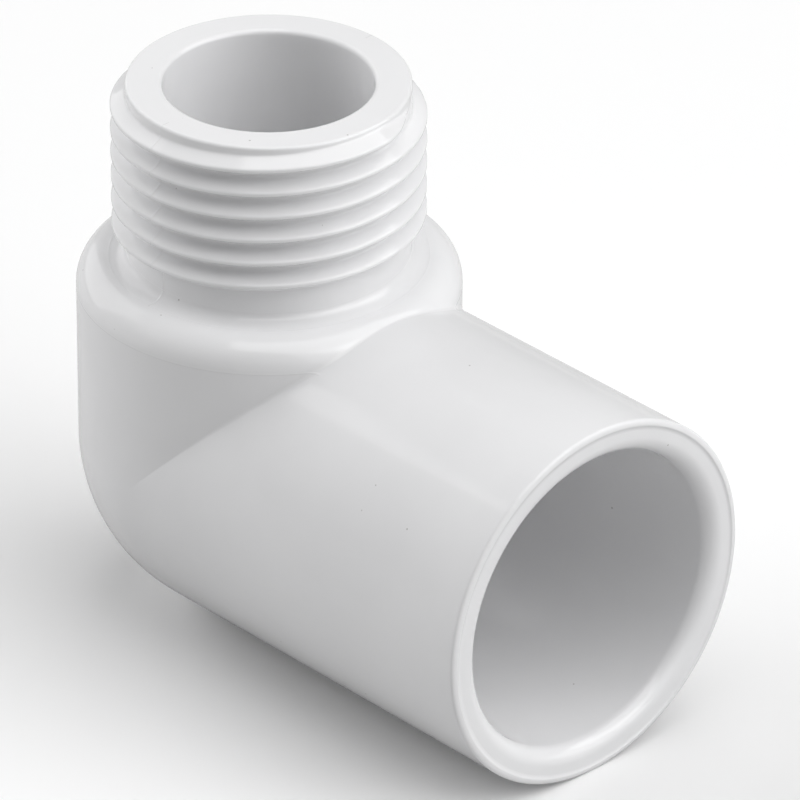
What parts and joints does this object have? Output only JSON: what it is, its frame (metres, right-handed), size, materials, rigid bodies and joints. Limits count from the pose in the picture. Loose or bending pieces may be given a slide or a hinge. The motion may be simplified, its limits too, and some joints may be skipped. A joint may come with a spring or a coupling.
{
  "type": "pvc elbow fitting",
  "caption": "White ninety degree plastic elbow: male hose thread pointing up, round body with a ball-shaped heel, and a smooth glue-in pipe socket opening to the side.",
  "frame": {"origin": "on the surface the elbow stands on, below the middle of its bounding box", "axes": "+Z along the thread axis, out of the threaded end; +X along the socket axis, out of the socket mouth"},
  "size_m": [0.0568, 0.033, 0.0501],
  "materials": {
    "white_upvc": "moulded satin gloss"
  },
  "bodies": {
    "root": {"elbow_body": "white_upvc"}
  },
  "joints": []
}
